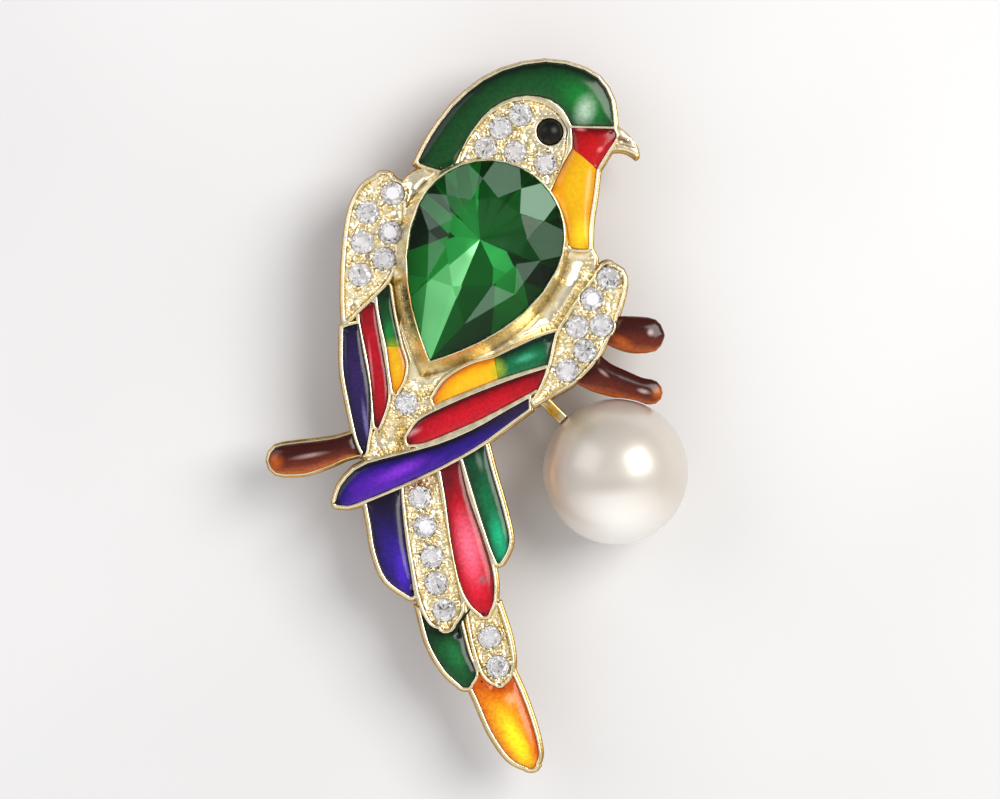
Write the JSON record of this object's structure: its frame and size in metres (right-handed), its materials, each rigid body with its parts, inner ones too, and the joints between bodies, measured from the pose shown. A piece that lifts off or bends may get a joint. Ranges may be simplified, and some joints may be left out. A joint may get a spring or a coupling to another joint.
{
  "type": "figural animal brooch",
  "caption": "Cast brooch in the form of a perching parrot: gilt metal, raised-rim enamel feathers, a pear-cut stone body, small pavé stones and a large round pearl beside the perch.",
  "frame": {"origin": "on the surface the brooch lies on, under the middle of its outline seen from the front", "axes": "+X to the right of the bird as it is seen from the front, +Y from the tail to the head, +Z out of the face, away from the pin"},
  "size_m": [0.0369, 0.0625, 0.0127],
  "materials": {
    "gilt_metal": "polished and in places granulated gilt",
    "green_glass": "foiled, faceted",
    "clear_glass": "foiled, faceted",
    "black_glass": "polished cabochon",
    "pearl": "pearl lustre",
    "green_enamel": "glossy cold enamel",
    "sea_green_enamel": "glossy cold enamel",
    "red_enamel": "glossy cold enamel",
    "rose_red_enamel": "glossy cold enamel",
    "yellow_enamel": "glossy cold enamel",
    "orange_enamel": "glossy cold enamel",
    "purple_enamel": "glossy cold enamel",
    "violet_enamel": "glossy cold enamel",
    "brown_enamel": "glossy cold enamel"
  },
  "bodies": {
    "root": {"casting": "gilt_metal", "pin_back": "gilt_metal", "pear_stone": "green_glass", "eye_stone": "black_glass", "pearl": "pearl", "centre_stone": "clear_glass", "face_stone_1": "clear_glass", "face_stone_2": "clear_glass", "face_stone_3": "clear_glass", "face_stone_4": "clear_glass", "face_stone_5": "clear_glass", "head_cap": "green_enamel", "left_shoulder_stone_1": "clear_glass", "left_shoulder_stone_2": "clear_glass", "left_shoulder_stone_3": "clear_glass", "left_shoulder_stone_4": "clear_glass", "left_shoulder_stone_5": "clear_glass", "left_shoulder_stone_6": "clear_glass", "left_twig": "brown_enamel", "left_wing_green": "green_enamel", "left_wing_purple": "purple_enamel", "left_wing_red": "red_enamel", "left_wing_yellow": "yellow_enamel", "lore": "red_enamel", "lower_tail_green": "green_enamel", "lower_tail_stone_1": "clear_glass", "lower_tail_stone_2": "clear_glass", "right_shoulder_stone_1": "clear_glass", "right_shoulder_stone_2": "clear_glass", "right_shoulder_stone_3": "clear_glass", "right_shoulder_stone_4": "clear_glass", "right_shoulder_stone_5": "clear_glass", "right_shoulder_stone_6": "clear_glass", "right_twig_lower": "brown_enamel", "right_twig_upper": "brown_enamel", "right_wing_green": "sea_green_enamel", "right_wing_purple": "violet_enamel", "right_wing_red": "red_enamel", "right_wing_yellow": "yellow_enamel", "tail_band_stone_1": "clear_glass", "tail_band_stone_2": "clear_glass", "tail_band_stone_3": "clear_glass", "tail_band_stone_4": "clear_glass", "tail_band_stone_5": "clear_glass", "tail_green": "sea_green_enamel", "tail_purple": "violet_enamel", "tail_red": "rose_red_enamel", "tail_tip_orange": "orange_enamel", "throat": "yellow_enamel"}
  },
  "joints": []
}
